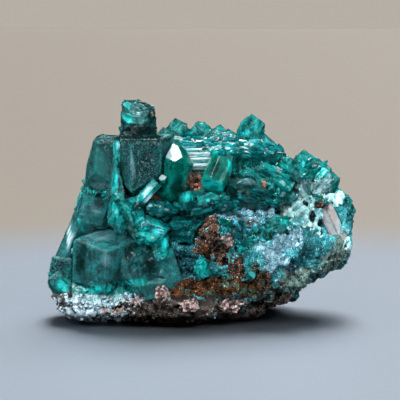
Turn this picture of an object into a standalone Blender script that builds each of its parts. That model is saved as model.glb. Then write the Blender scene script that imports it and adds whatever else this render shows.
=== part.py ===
"""A dioptase specimen: deep green crystals grown on a lump of oxidised copper ore.

Frame: +X to the right of the front view, +Y away from it, +Z up. The origin is the middle of
the flat patch that the ore rests on. Tables are in millimetres, and meshes are scaled to metres.
"""

import math
import random
from dataclasses import dataclass

import bmesh
import bpy
from mathutils import Euler, Matrix, Vector, noise

MM = 0.001

# Dioptase is trigonal: its rhombohedron's faces lean this far from the plane across the c axis.
RHOMB_LEAN = math.radians(51.0)
PRISM_FACES = 6
RHOMB_FACES = 3

# Corners of a crystal nearer to each other than this are one corner.
SAME_CORNER = 0.03

# Space left between a crystal and what it is rooted in or grew against.
GAP = 0.3

# The ore: grid size of its rough skin, size and depth of its crags, and the share of faces kept.
ORE_GRID = 0.85
BLOCK_SIZE = 5.2
BLOCK_STEP = 0.7
BLOCK_TILT = 1.5
CHIP_SIZE = 2.4
CHIP_TILT = 0.45
ORE_KEPT = 0.53
# How much of the lumps' underside is cut away level, and the size of the slab that cuts it.
REST_HEIGHT = 0.55
GROUND_SLAB = 80.0

DEEP_GREEN = (0.010, 0.115, 0.085, 1.0)
EMERALD = (0.004, 0.180, 0.095, 1.0)
TURQUOISE = (0.020, 0.330, 0.290, 1.0)
PALE_QUARTZ = (0.620, 0.520, 0.480, 1.0)
ORE_BROWN = (0.165, 0.120, 0.090, 1.0)


@dataclass
class Crystal:
    """A hexagonal prism along its c axis. Its free end, the tip, is where the axis points.

    centre is the middle of the axis, across the distance between opposite prism faces, and
    roll turns the crystal about its axis, in degrees. flat makes a tabular crystal: depth over
    width. An end is a rhomb, a three-faced rhombohedron, or flat. Each break is a plane that
    took a corner off: the way it faces and how far from the centre it lies.
    """

    centre: tuple
    axis: tuple
    across: float
    length: float
    roll: float = 0.0
    flat: float = 1.0
    tip: str = "rhomb"
    root: str = "flat"
    breaks: tuple = ()

    def turn(self):
        return crystal_frame(self.axis, self.roll)

    def planes(self):
        """(outward normal, distance from the centre) of each face, in the crystal's own frame."""
        found = []
        for k in range(PRISM_FACES):
            around = k * math.tau / PRISM_FACES
            share = math.cos(around) ** 2 + self.flat * math.sin(around) ** 2
            found.append((Vector((math.cos(around), math.sin(around), 0)), self.across / 2 * share))
        found += self.end_planes(self.tip, 1)
        found += self.end_planes(self.root, -1)
        back = self.turn().transposed()
        found += [(back @ Vector(facing).normalized(), distance) for facing, distance in self.breaks]
        return found

    def end_planes(self, form, side):
        if form == "flat":
            return [(Vector((0, 0, side)), self.length / 2)]
        found = []
        for k in range(RHOMB_FACES):
            around = math.radians(30 * side) + k * math.tau / RHOMB_FACES
            normal = Vector((
                math.sin(RHOMB_LEAN) * math.cos(around),
                math.sin(RHOMB_LEAN) * math.sin(around),
                math.cos(RHOMB_LEAN) * side,
            ))
            found.append((normal, self.length / 2 * math.cos(RHOMB_LEAN)))
        return found


@dataclass
class Chunk:
    """A broken crystal with no form left: a block of this size with skewed sides and cut corners."""

    centre: tuple
    size: tuple
    tilt: tuple = (0, 0, 0)
    seed: int = 1
    corners: int = 7

    def turn(self):
        return Euler([math.radians(a) for a in self.tilt]).to_matrix()

    def planes(self):
        pick = random.Random(self.seed)
        half = Vector(self.size) / 2
        found = []
        for k in range(3):
            for side in (-1, 1):
                normal = Vector([pick.uniform(-0.22, 0.22) for _ in range(3)])
                normal[k] = side
                found.append((normal.normalized(), half[k]))
        for _ in range(self.corners):
            normal = Vector([pick.choice((-1, 1)) * pick.uniform(0.35, 1) for _ in range(3)])
            normal.normalize()
            reach = sum(abs(n) * h for n, h in zip(normal, half))
            found.append((normal, reach * pick.uniform(0.62, 0.82)))
        return found


def crystal_frame(axis, roll):
    """The rotation whose Z is the axis and whose X leans to world X, or to Z for a level axis."""
    up = Vector(axis).normalized()
    towards = Vector((1, 0, 0)) if abs(up.x) < 0.8 else Vector((0, 0, 1))
    side = (towards - up * towards.dot(up)).normalized()
    turned = Matrix((side, up.cross(side), up)).transposed()
    return turned @ Matrix.Rotation(math.radians(roll), 3, "Z")


# Crystals by the piece that they belong to. Those of one piece grew together and are one solid.
# A piece further down is cut back where it meets one further up.
CRYSTALS = {
    "great_crystals": [
        Crystal((-7.9, -4.3, 21.3), (0.02, -0.05, 1), 7.1, 10.4, roll=-20, root="rhomb",
                tip="flat", breaks=(((0, 0, 1), 4.5),)),
        Crystal((-12.7, -1.6, 21.3), (0.06, 0.02, 1), 5.5, 8.8, roll=30, root="rhomb", tip="flat",
                breaks=(((-0.96, 0, 0.28), 3.0), ((-0.2, -0.1, 1), 4.3))),
        Crystal((-8.4, -3.3, 27.2), (0.02, 0.03, 1), 5.9, 7.0, roll=12, tip="flat",
                breaks=(((0.32, -0.1, 0.94), 2.9), ((-0.99, 0, 0.12), 2.7), ((0.98, 0, 0.15), 2.6),
                        ((0.75, -0.2, 0.62), 3.0), ((-0.2, -0.8, 0.55), 2.75))),
        Chunk((-11.6, -6.3, 20.6), (0.9, 2.6, 9.5), (4, 3, 20), seed=5, corners=5),
    ],
    "rhombic_crystals": [
        Crystal((-12.9, -6.6, 8.9), (0.10, -0.92, 0.38), 8.6, 9.6, roll=60),
        Chunk((-7.0, -6.6, 7.6), (7.6, 4.4, 6.8), (6, -7, 8), seed=33, corners=8),
        Chunk((-13.2, -6.4, 4.6), (8.4, 4.6, 3.2), (4, 4, -4), seed=9, corners=6),
    ],
    "left_edge_crystals": [
        Crystal((-14.7, -3.0, 15.0), (-0.30, -0.62, 0.72), 5.2, 7.4, roll=25),
        Crystal((-17.3, -2.6, 12.3), (0.40, 0.05, 0.92), 2.5, 9.6, roll=10, tip="flat",
                breaks=(((0.1, -0.3, 1), 4.4),)),
    ],
    "left_tip_crystals": [
        Crystal((-18.6, -3.0, 7.2), (-0.60, -0.46, 0.65), 3.9, 5.6, roll=12),
        Crystal((-18.2, -4.6, 4.6), (0.70, -0.20, -0.68), 2.4, 5.4, roll=40),
    ],
    "centre_prism": [
        Crystal((-3.3, -6.6, 20.4), (0.22, -0.20, 0.95), 3.5, 8.6, roll=40, root="rhomb", tip="flat",
                breaks=(((-0.42, -0.60, 0.68), 3.1), ((0.75, -0.2, 0.63), 3.1))),
    ],
    "broken_crystals": [
        Chunk((-11.2, -7.9, 15.9), (2.3, 2.4, 4.8), (0, -4, 12), seed=11),
        Chunk((-8.6, -8.3, 14.6), (2.9, 2.8, 6.8), (0, -24, 8), seed=4),
        Chunk((-6.6, -8.6, 13.2), (3.8, 2.4, 3.0), (8, 28, 0), seed=8),
        Chunk((-5.6, -8.2, 11.2), (2.6, 2.4, 3.6), (0, -10, 20), seed=3),
        Crystal((-7.7, -8.3, 17.9), (0.66, 0.16, 0.70), 1.7, 5.8, roll=20, tip="flat"),
    ],
    "hexagonal_prism": [
        Crystal((2.5, -6.4, 21.1), (-0.34, -0.58, -0.72), 3.2, 5.0, roll=10, tip="flat"),
    ],
    "mirror_prism": [
        Crystal((0.1, -2.4, 22.2), (1, -0.04, 0.03), 4.3, 6.2, roll=13, tip="flat"),
        Crystal((-1.2, -0.6, 24.0), (0.96, -0.1, -0.16), 2.2, 5.4, roll=22, tip="flat"),
    ],
    "small_tip_crystal": [
        Crystal((-5.1, -7.7, 19.3), (0.12, -0.35, 0.93), 1.1, 3.4, roll=20, tip="flat",
                breaks=(((-0.35, -0.6, 0.7), 1.25),)),
    ],
    "small_rhombic_crystal": [
        Crystal((-1.9, -8.4, 17.7), (-0.15, -0.74, 0.62), 2.1, 3.2, roll=60),
    ],
    "wedge_crystals": [
        Crystal((0.8, -7.6, 17.0), (0.86, -0.26, 0.34), 2.6, 4.8, roll=8),
        Crystal((3.6, -7.6, 16.5), (0.92, -0.25, -0.20), 1.7, 3.6, roll=20),
    ],
    "dark_wedge_crystal": [
        Crystal((-5.3, -7.0, 16.0), (0.97, -0.14, 0.06), 3.1, 5.0, roll=20),
    ],
    "clear_mass": [
        Chunk((-2.2, -6.7, 13.2), (4.4, 3.0, 3.4), (22, 24, -14), seed=21, corners=8),
    ],
    "front_crystal": [
        Chunk((0.2, -8.5, 8.1), (2.3, 2.4, 2.8), (0, -30, 15), seed=14, corners=6),
    ],
    "dusty_crystal": [
        Chunk((6.3, -4.6, 17.6), (6.0, 4.4, 3.6), (-24, 12, 8), seed=17, corners=8),
    ],
    "slanting_prisms": [
        Crystal((10.3, -4.0, 20.1), (0.83, -0.14, -0.54), 2.0, 5.8, roll=16, tip="flat"),
        Crystal((11.8, -3.4, 18.2), (0.60, -0.45, -0.62), 2.0, 3.6, roll=30, tip="flat"),
    ],
    "striated_prisms": [
        Crystal((5.0, -1.4, 23.4), (0.96, -0.14, 0.16), 2.9, 7.6, roll=14, tip="flat"),
        Crystal((8.4, -1.7, 23.2), (0.95, -0.2, -0.12), 1.9, 4.6, roll=20, tip="flat"),
        Crystal((3.2, -3.2, 23.8), (0.90, -0.32, -0.24), 1.5, 4.0, roll=10, tip="flat"),
    ],
    "upper_prism": [
        Crystal((2.8, 1.4, 24.6), (0.86, -0.1, 0.42), 2.4, 5.6, roll=14),
    ],
    "peak_crystals": [
        Crystal((7.1, 4.2, 24.6), (0.06, -0.10, 1), 3.7, 7.8, roll=34),
        Crystal((9.2, 4.4, 22.3), (0.62, -0.12, 0.77), 5.0, 8.2, roll=30, tip="flat",
                breaks=(((0.66, -0.05, 0.74), 2.3),)),
    ],
    "ridge_crystals": [
        Crystal((-3.2, 5.8, 24.4), (-0.12, -0.05, 1), 3.4, 7.0, roll=10),
        Crystal((-0.2, 6.4, 24.3), (0.06, -0.02, 1), 4.4, 6.6, roll=26,
                breaks=(((0.1, 0, 1), 2.9),)),
        Crystal((2.4, 5.6, 24.0), (0.2, -0.1, 0.97), 2.9, 6.0, roll=5),
    ],
    "ridge_end_crystal": [
        Crystal((-5.3, 1.8, 23.9), (0.05, -0.1, 1), 2.8, 5.8, roll=20),
    ],
    "right_crystals": [
        Crystal((14.4, 0.2, 19.9), (0.03, -0.12, 0.99), 4.2, 7.9, roll=28),
        Crystal((16.4, 0.2, 19.0), (0.08, -0.14, 0.98), 3.5, 7.0, roll=12),
        Crystal((17.8, 0.5, 17.8), (0.14, -0.10, 0.98), 3.0, 6.4, roll=20),
        Crystal((12.0, -0.6, 20.5), (-0.18, -0.24, 0.95), 3.0, 6.0, roll=5),
    ],
    "clear_crystal": [
        Crystal((13.1, -4.1, 19.9), (0.22, -0.34, 0.91), 2.0, 4.6, roll=15),
    ],
    "right_small_crystal": [
        Crystal((17.0, -2.9, 19.6), (0.30, -0.62, 0.72), 2.5, 4.4, roll=20),
    ],
    "pale_pocket_crystal": [
        Crystal((18.4, -2.2, 13.3), (-0.42, -0.24, 0.88), 2.2, 6.2, roll=10, tip="flat"),
    ],
    "back_left_crystals": [
        Crystal((-11.3, 5.0, 17.2), (-0.45, 0.72, 0.53), 5.0, 8.4, roll=15),
        Crystal((-8.0, 7.0, 20.8), (-0.12, 0.55, 0.83), 3.8, 7.4, roll=35),
    ],
    "back_middle_crystals": [
        Crystal((-1.2, 9.8, 18.2), (-0.10, 0.82, 0.56), 4.6, 7.2, roll=50),
        Crystal((2.6, 10.2, 15.6), (0.25, 0.93, 0.26), 3.0, 5.6, roll=20),
    ],
    "back_right_crystals": [
        Crystal((8.8, 8.4, 19.0), (0.22, 0.70, 0.68), 5.2, 8.0, roll=20),
        Crystal((13.3, 6.8, 17.2), (0.55, 0.66, 0.51), 3.8, 6.8, roll=5),
    ],
}

# What the crystals are made of, where it isn't the common deep green.
FINISHES = {
    "broken_crystals": ("turquoise_crystal", TURQUOISE, 0.35),
    "front_crystal": ("turquoise_crystal", TURQUOISE, 0.35),
    "small_rhombic_crystal": ("turquoise_crystal", TURQUOISE, 0.35),
    "centre_prism": ("emerald_crystal", EMERALD, 0.12),
    "hexagonal_prism": ("emerald_crystal", EMERALD, 0.12),
    "small_tip_crystal": ("emerald_crystal", EMERALD, 0.12),
    "pale_pocket_crystal": ("quartz", PALE_QUARTZ, 0.40),
}
COMMON_FINISH = ("green_crystal", DEEP_GREEN, 0.25)

# Masses of ore: the middle and the half sizes of each swelling, then of each hollow between them.
ORE_LUMPS = {
    "core": ((1.0, 1.5, 11.8), (15.0, 8.6, 8.6)),
    "left foot": ((-11.7, -1.2, 5.6), (8.2, 7.6, 6.6)),
    "base": ((-4.0, 0.0, 3.4), (13.0, 8.6, 5.2)),
    "left wall": ((-11.0, 1.5, 14.6), (5.6, 5.6, 7.0)),
    "right shoulder": ((13.6, 1.6, 14.2), (6.6, 6.8, 6.4)),
    "right flank": ((13.2, 0.2, 10.5), (7.6, 6.8, 5.0)),
    "back ridge": ((1.5, 5.0, 18.8), (10.5, 5.6, 5.2)),
    "front belly": ((3.5, -3.0, 10.6), (10.5, 5.2, 7.2)),
    "top": ((-2.0, 0.5, 18.0), (8.5, 6.0, 4.8)),
    "underside": ((6.8, -0.8, 6.4), (7.2, 6.8, 3.9)),
    "upper shelf": ((5.5, -1.0, 18.3), (8.0, 5.0, 3.9)),
    "tail": ((17.2, 0.8, 12.0), (3.9, 4.8, 5.2)),
    "back foot": ((4.0, 5.6, 7.0), (9.5, 5.0, 6.0)),
    "brown knob": ((2.2, -7.0, 13.0), (2.6, 2.0, 2.8)),
    "rust ledge": ((-0.5, -7.2, 5.4), (7.0, 2.2, 1.8)),
    "white bulge": ((9.8, -5.4, 11.2), (3.6, 2.6, 3.6)),
}
ORE_HOLLOWS = {
    "right pocket": ((18.2, -3.6, 13.9), (1.5, 2.2, 2.6)),
    "upper pocket": ((15.3, -4.9, 15.6), (0.7, 1.6, 1.1)),
    "blue hollow": ((-1.8, -9.6, 9.4), (2.0, 1.9, 3.0)),
    "brown cavity": ((-0.3, -6.6, 19.4), (1.5, 2.6, 1.7)),
    "ridge cavity": ((-0.2, 2.2, 22.8), (1.6, 3.0, 0.9)),
    "foot notch": ((-10.6, -8.4, 0.3), (1.5, 2.6, 1.1)),
    "back pocket": ((6.0, 11.0, 10.0), (2.0, 2.4, 1.6)),
}


def clear_scene():
    for thing in list(bpy.data.objects):
        bpy.data.objects.remove(thing)


def material(name, colour, roughness):
    found = bpy.data.materials.get(name)
    if found is None:
        found = bpy.data.materials.new(name)
        found.use_nodes = True
        shader = found.node_tree.nodes["Principled BSDF"]
        shader.inputs["Base Color"].default_value = colour
        shader.inputs["Roughness"].default_value = roughness
        shader.inputs["Metallic"].default_value = 0.0
    return found


def link_mesh(name, mesh, helper=False):
    """Puts a bmesh made in millimetres into the scene as an object in metres."""
    mesh.transform(Matrix.Scale(MM, 4))
    data = bpy.data.meshes.new(name)
    mesh.to_mesh(data)
    mesh.free()
    made = bpy.data.objects.new(name, data)
    bpy.context.scene.collection.objects.link(made)
    if helper:
        made.hide_render = True
        made.display_type = "WIRE"
    return made


def solid_between(grown, spare=0.0):
    """The convex solid behind every face of a crystal or chunk, spare millimetres larger all round."""
    planes = grown.planes()
    reach = 3 * max(distance for _, distance in planes)
    mesh = bmesh.new()
    bmesh.ops.create_cube(mesh, size=2 * reach)
    for normal, distance in planes:
        everything = mesh.verts[:] + mesh.edges[:] + mesh.faces[:]
        bmesh.ops.bisect_plane(mesh, geom=everything, plane_co=normal * (distance + spare),
                               plane_no=normal, clear_outer=True)
        rim = [edge for edge in mesh.edges if edge.is_boundary]
        if rim:
            bmesh.ops.contextual_create(mesh, geom=rim)
    bmesh.ops.remove_doubles(mesh, verts=mesh.verts, dist=SAME_CORNER)
    bmesh.ops.recalc_face_normals(mesh, faces=mesh.faces)
    if mesh.calc_volume(signed=True) < 0:
        bmesh.ops.reverse_faces(mesh, faces=mesh.faces)
    mesh.transform(Matrix.Translation(grown.centre) @ grown.turn().to_4x4())
    return mesh


def combine(host, other, operation, solver="EXACT"):
    change = host.modifiers.new(operation.lower(), "BOOLEAN")
    change.operation = operation
    change.object = other
    change.solver = solver


def reach_of(grown):
    if isinstance(grown, Chunk):
        return Vector(grown.size).length / 2
    return math.hypot(grown.length / 2, grown.across / 2)


def may_touch(one, other):
    apart = (Vector(one.centre) - Vector(other.centre)).length
    return apart < reach_of(one) + reach_of(other) + GAP


def islands(mesh):
    """The vertices of each loose part of a bmesh."""
    left = set(mesh.verts)
    while left:
        found = {left.pop()}
        edge_of_search = list(found)
        while edge_of_search:
            for edge in edge_of_search.pop().link_edges:
                fresh = {vertex for vertex in edge.verts if vertex in left}
                left -= fresh
                found |= fresh
                edge_of_search += fresh
        yield found


def drop_crumbs(host):
    """Applies the cuts, then removes the splinters that they left beside the piece."""
    graph = bpy.context.evaluated_depsgraph_get()
    cut = bpy.data.meshes.new_from_object(host.evaluated_get(graph))
    mesh = bmesh.new()
    mesh.from_mesh(cut)
    parts = sorted(islands(mesh), key=len)
    for crumb in parts[:-1]:
        bmesh.ops.delete(mesh, geom=list(crumb), context="VERTS")
    mesh.to_mesh(cut)
    mesh.free()
    host.modifiers.clear()
    host.data = cut


def make_sockets():
    """The room that each crystal takes, with the gap around it, by the piece it belongs to."""
    return {
        name: [link_mesh(f"socket_{name}_{k}", solid_between(grown, GAP), helper=True)
               for k, grown in enumerate(group)]
        for name, group in CRYSTALS.items()
    }


def make_crystals(sockets):
    earlier = []
    for name, group in CRYSTALS.items():
        host = link_mesh(name, solid_between(group[0]))
        host.data.materials.append(material(*FINISHES.get(name, COMMON_FINISH)))
        for k, grown in enumerate(group[1:], start=1):
            other = link_mesh(f"{name}_part_{k}", solid_between(grown), helper=True)
            combine(host, other, "UNION")
        for neighbour in earlier:
            for grown, socket in zip(CRYSTALS[neighbour], sockets[neighbour]):
                if any(may_touch(grown, own) for own in group):
                    combine(host, socket, "DIFFERENCE")
        drop_crumbs(host)
        earlier.append(name)


def add_swelling(mesh, middle, half):
    place = Matrix.Translation(middle) @ Matrix.Diagonal((*half, 1))
    bmesh.ops.create_icosphere(mesh, subdivisions=4, radius=1, matrix=place)


def smooth_ore():
    """The swellings melted into one skin on an even grid, as a mesh in millimetres."""
    mesh = bmesh.new()
    for middle, half in ORE_LUMPS.values():
        add_swelling(mesh, middle, half)
    swollen = link_mesh("ore_swellings", mesh, helper=True)
    melt = swollen.modifiers.new("melt", "REMESH")
    melt.mode = "VOXEL"
    melt.voxel_size = ORE_GRID * MM
    graph = bpy.context.evaluated_depsgraph_get()
    melted = bmesh.new()
    melted.from_mesh(swollen.evaluated_get(graph).to_mesh())
    melted.transform(Matrix.Scale(1 / MM, 4))
    bpy.data.objects.remove(swollen)
    return melted


def facet(point, size, step, tilt):
    """Height of a skin broken into flat faces: each has its own level and its own slope."""
    middle = noise.voronoi(point / size)[1][0]
    slope = noise.cell_vector(middle * 7.3)
    return step * noise.cell(middle * 3.1) + tilt * slope.dot(point / size - middle)


def crag(point):
    """How far the ore's skin stands out at a point: broken blocks, and chips on them."""
    blocks = facet(point, BLOCK_SIZE, BLOCK_STEP, BLOCK_TILT)
    return blocks + facet(point, CHIP_SIZE, 0.0, CHIP_TILT)


def roughen(mesh):
    mesh.normal_update()
    moves = [(vertex, vertex.normal * crag(vertex.co)) for vertex in mesh.verts]
    for vertex, move in moves:
        vertex.co += move


def make_ground():
    """The slab below the level that the ore rests on, which cuts its underside flat."""
    mesh = bmesh.new()
    bmesh.ops.create_cube(mesh, size=GROUND_SLAB, matrix=Matrix.Translation((0, 0, -GROUND_SLAB / 2)))
    return link_mesh("ground", mesh, helper=True)


def make_hollows():
    made = []
    for name, (middle, half) in ORE_HOLLOWS.items():
        mesh = bmesh.new()
        place = Matrix.Translation(middle) @ Matrix.Diagonal((*half, 1))
        bmesh.ops.create_icosphere(mesh, subdivisions=2, radius=1, matrix=place)
        made.append(link_mesh("hollow_" + name.replace(" ", "_"), mesh, helper=True))
    return made


def make_ore(cutters):
    mesh = smooth_ore()
    roughen(mesh)
    mesh.transform(Matrix.Translation((0, 0, -REST_HEIGHT)))
    ore = link_mesh("ore_matrix", mesh)
    ore.data.materials.append(material("ore", ORE_BROWN, 0.85))
    thin = ore.modifiers.new("thin", "DECIMATE")
    thin.ratio = ORE_KEPT
    for cutter in cutters:
        combine(ore, cutter, "DIFFERENCE", solver="MANIFOLD")
    drop_crumbs(ore)


def main():
    clear_scene()
    sockets = make_sockets()
    make_crystals(sockets)
    make_ore([make_ground()] + make_hollows() + [socket for group in sockets.values() for socket in group])


main()
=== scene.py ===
"""Looks of a dioptase specimen: green crystals on a lump of oxidised copper ore.

Each flat-faced solid of the frame is covered with a fine skin of its own shape, which carries the
crystals' striations, steps and chips and the ore's grit. Grains and small crystals grow on the
ore. Sizes are in millimetres until a mesh is stored in metres.
"""

import itertools
import math
from dataclasses import dataclass

import bmesh
import bpy
import numpy as np
from mathutils import Matrix, Vector
from mathutils.bvhtree import BVHTree
from mathutils.kdtree import KDTree


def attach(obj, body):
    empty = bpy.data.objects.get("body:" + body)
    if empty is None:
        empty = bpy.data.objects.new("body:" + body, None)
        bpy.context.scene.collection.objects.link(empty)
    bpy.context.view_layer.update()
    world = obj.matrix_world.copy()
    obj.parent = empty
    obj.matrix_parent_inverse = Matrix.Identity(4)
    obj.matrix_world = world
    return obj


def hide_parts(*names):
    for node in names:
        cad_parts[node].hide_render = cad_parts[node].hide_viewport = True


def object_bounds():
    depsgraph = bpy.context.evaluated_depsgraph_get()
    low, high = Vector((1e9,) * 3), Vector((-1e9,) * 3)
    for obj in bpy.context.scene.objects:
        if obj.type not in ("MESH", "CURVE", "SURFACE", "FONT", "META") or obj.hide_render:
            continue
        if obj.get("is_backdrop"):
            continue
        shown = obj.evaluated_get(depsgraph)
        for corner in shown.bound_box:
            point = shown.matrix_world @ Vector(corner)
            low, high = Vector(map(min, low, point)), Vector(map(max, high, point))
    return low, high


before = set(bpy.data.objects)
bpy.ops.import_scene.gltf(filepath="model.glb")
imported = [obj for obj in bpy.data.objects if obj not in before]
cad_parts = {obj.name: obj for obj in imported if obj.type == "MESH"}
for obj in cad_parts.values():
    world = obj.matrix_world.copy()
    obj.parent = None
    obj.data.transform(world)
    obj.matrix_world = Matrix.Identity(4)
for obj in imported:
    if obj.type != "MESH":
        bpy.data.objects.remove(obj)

MM = 0.001
CAD_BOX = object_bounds()

# The photograph's camera.
PITCH = math.radians(7)
DISTANCE = 220.0
TARGET = Vector((0, 0, 16.5))
LENS = 141.4
SENSOR = 36.0
PICTURE = 400
FOCAL_PIXELS = LENS / SENSOR * PICTURE


def camera_direction():
    return Vector((0, -math.cos(PITCH), math.sin(PITCH)))


# The camera's axes, and what a pixel measures at the specimen in millimetres.
RIGHT = Vector((1, 0, 0))
UP = Vector((0, math.sin(PITCH), math.cos(PITCH)))
FORWARD = -camera_direction()
PIXEL = DISTANCE / FOCAL_PIXELS


# Fine skins: grid size for crystals and ore, and what counts as one corner or one flat face.
CRYSTAL_GRID = 0.15
ORE_GRID = 0.24
WELD = 0.001
FLAT_ANGLE = math.radians(1.2)
SHARP_ANGLE = math.radians(12)
EDGE_STEP = 0.12
RHOMB_LEAN = math.radians(51)


# Random numbers and noise that depend on place alone

def lattice_random(cells, seed):
    """A repeatable value from 0 to 1 for each whole-numbered lattice point."""
    mixed = cells @ np.array((73856093, 19349663, 83492791)) + seed * 668265263
    mixed = ((mixed ^ (mixed >> 13)) * 1274126177) & 0x7FFFFFFF
    return ((mixed ^ (mixed >> 15)) & 0xFFFF) / 65535


def random_for(numbers, seed, count):
    """This many arrays of repeatable values from 0 to 1, each with one value for every number."""
    cells = np.stack([numbers] * 3, axis=1)
    return [lattice_random(cells, seed + k) for k in range(count)]


def smooth_noise(points, size, seed):
    """Soft noise from 0 to 1 with features of this size."""
    scaled = points / size
    low = np.floor(scaled).astype(np.int64)
    share = scaled - low
    share = share * share * (3 - 2 * share)
    total = np.zeros(len(points))
    for corner in itertools.product((0, 1), repeat=3):
        weight = np.prod(np.where(corner, share, 1 - share), axis=1)
        total += weight * lattice_random(low + corner, seed)
    return total


def rough_noise(points, size, seed, octaves=3):
    total = np.zeros(len(points))
    for k in range(octaves):
        total += smooth_noise(points, size / 2 ** k, seed + k) / 2 ** k
    return total / sum(2.0 ** -k for k in range(octaves))


def nearest_cell(points, size, seed):
    """(offset from the nearest scattered centre in cell sizes, three random values of that cell)."""
    scaled = points / size
    low = np.floor(scaled).astype(np.int64)
    best = np.full(len(points), np.inf)
    offset = np.zeros_like(scaled)
    values = np.zeros_like(scaled)
    for shift in itertools.product((-1, 0, 1), repeat=3):
        cell = low + shift
        random = np.stack([lattice_random(cell, seed + k) for k in range(3)], axis=1)
        away = scaled - cell - random
        gap = (away * away).sum(axis=1)
        nearer = gap < best
        best[nearer] = gap[nearer]
        offset[nearer] = away[nearer]
        values[nearer] = random[nearer]
    return offset, values


def broken_facets(points, size, seed):
    """Height from about -0.5 to 0.5 of a surface broken into small tilted planes."""
    offset, values = nearest_cell(points, size, seed)
    return (offset * (values - 0.5)).sum(axis=1) * 1.6


def ramp(value, low, high):
    return np.clip((value - low) / (high - low), 0, 1)


def between(limits, share):
    low, high = limits
    return low + (high - low) * share


# Meshes

def stored_mesh(name, points, faces):
    """A mesh in metres from points in millimetres."""
    mesh = bpy.data.meshes.new(name)
    mesh.from_pydata((np.asarray(points) * MM).tolist(), [], faces)
    mesh.update()
    return mesh


def linked(name, mesh):
    made = bpy.data.objects.new(name, mesh)
    bpy.context.scene.collection.objects.link(made)
    return made


def store(mesh, name, values):
    """Keeps one number, or one vector, for each vertex under a name that a material can read."""
    values = np.asarray(values, dtype=np.float32)
    kind = "FLOAT" if values.ndim == 1 else "FLOAT_VECTOR"
    layer = mesh.attributes.new(name, kind, "POINT")
    layer.data.foreach_set("value" if values.ndim == 1 else "vector", values.ravel())


def flat_faces(node):
    """The node's flat faces, in millimetres."""
    mesh = bmesh.new()
    mesh.from_mesh(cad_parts[node].data)
    mesh.transform(Matrix.Scale(1 / MM, 4))
    bmesh.ops.remove_doubles(mesh, verts=mesh.verts, dist=WELD)
    return mesh


def fine_grid(faces, grid):
    """(points, faces) of an even grid over a closed bmesh."""
    mesh = bpy.data.meshes.new("coarse")
    faces.to_mesh(mesh)
    coarse = linked("coarse", mesh)
    remesh = coarse.modifiers.new("grid", "REMESH")
    remesh.mode = "VOXEL"
    remesh.voxel_size = grid
    graph = bpy.context.evaluated_depsgraph_get()
    fine = coarse.evaluated_get(graph).to_mesh()
    points = np.empty(len(fine.vertices) * 3)
    fine.vertices.foreach_get("co", points)
    polygons = [tuple(face.vertices) for face in fine.polygons]
    bpy.data.objects.remove(coarse)
    return points.reshape(-1, 3), polygons


def point_normals(points, faces):
    """Unit normals at the points of a grid of quads."""
    corners = np.array([face[:4] for face in faces if len(face) == 4])
    across = points[corners[:, 2]] - points[corners[:, 0]]
    down = points[corners[:, 3]] - points[corners[:, 1]]
    out = np.cross(across, down)
    normals = np.zeros_like(points)
    for k in range(4):
        np.add.at(normals, corners[:, k], out)
    return normals / np.maximum(np.linalg.norm(normals, axis=1, keepdims=True), 1e-12)


def behind_pixel(tree, across, down):
    """(place, normal, face number) of what a pixel of the photograph shows, or Nones."""
    middle = PICTURE / 2
    eye = TARGET + camera_direction() * DISTANCE
    aim = TARGET + (RIGHT * (across - middle) + UP * (middle - down)) * PIXEL
    return tree.ray_cast(eye, (aim - eye).normalized())[:3]


# Crystals: relief of the faces

@dataclass
class Relief:
    """How a crystal's faces are worn, in millimetres of depth: fine grooves along the grain,
    growth steps, long plates that grew side by side, chips along the edges and fractures.
    broken_above is the height from which the crystal is a fracture surface, and swell is how far
    the whole skin stands out."""

    finish: str
    grooves: float = 0.02
    steps: float = 0.05
    plates: float = 0.0
    chips: float = 0.12
    fractures: float = 0.0
    broken_above: float = 99.0
    swell: float = 0.0


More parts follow.
